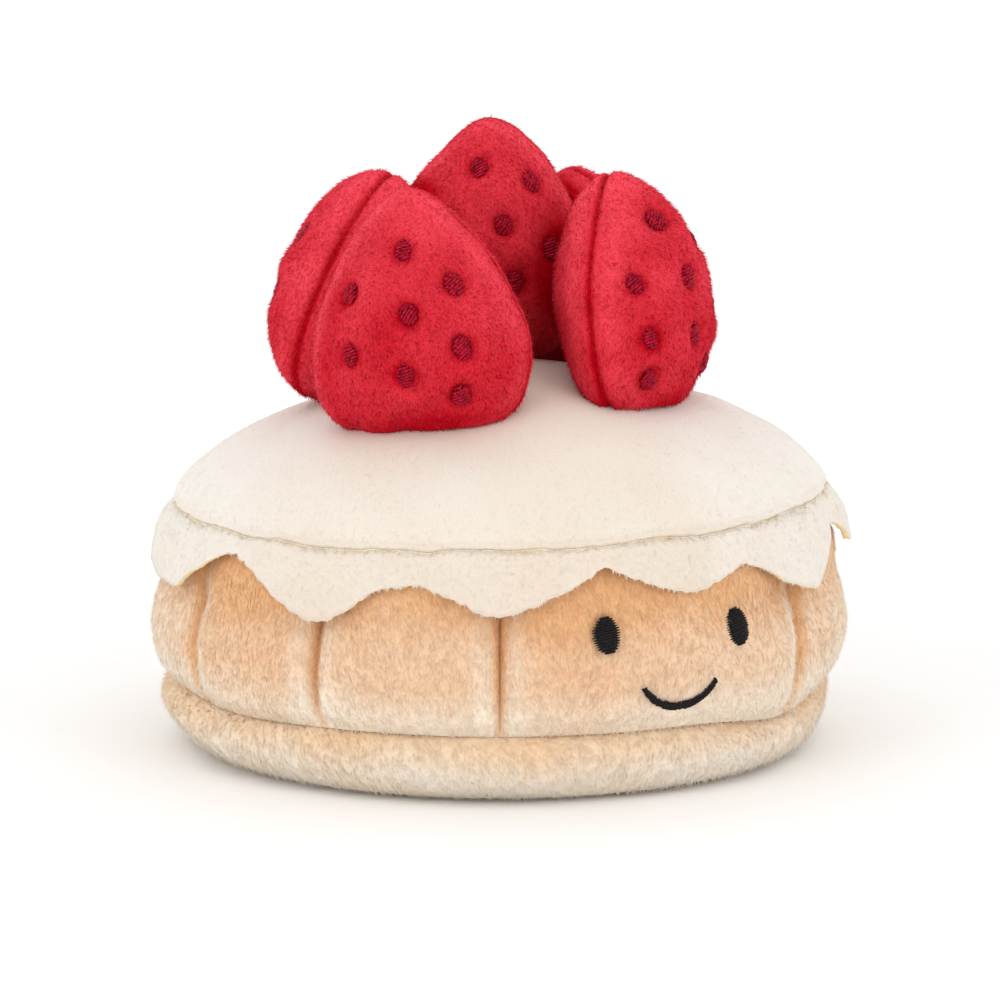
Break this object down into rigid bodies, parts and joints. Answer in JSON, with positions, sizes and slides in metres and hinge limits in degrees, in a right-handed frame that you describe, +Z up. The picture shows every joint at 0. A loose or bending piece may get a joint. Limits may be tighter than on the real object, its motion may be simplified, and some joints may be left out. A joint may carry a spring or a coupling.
{
  "type": "plush strawberry tart toy",
  "caption": "Soft plush toy of a round strawberry tart: stuffed fluted crust with a stitched smile, cream icing with a scalloped drip flap, plush strawberries on top.",
  "frame": {"origin": "centre of the flat underside, on the surface that the tart stands on", "axes": "+Z up through the strawberries, -Y towards the front, +X to the right when the front is looked at"},
  "size_m": [0.1295, 0.1295, 0.1142],
  "materials": {
    "base_plush": "short pale biscuit plush, soft sheen",
    "crust_plush": "short plush with warm tan roots and cream tips",
    "icing_plush": "smooth short cream plush",
    "berry_plush": "short red plush with a soft sheen",
    "seed_thread": "dark crimson satin stitch",
    "dark_thread": "near-black satin stitch"
  },
  "bodies": {
    "root": {"base_cushion": "base_plush", "crust_wall": "crust_plush", "icing_top": "icing_plush", "icing_drip": "icing_plush", "strawberry_front_left": "berry_plush", "strawberry_back_left": "berry_plush", "strawberry_middle": "berry_plush", "strawberry_back_right": "berry_plush", "strawberry_right": "berry_plush", "eye_left": "dark_thread", "eye_right": "dark_thread", "smile": "dark_thread"}
  },
  "joints": []
}
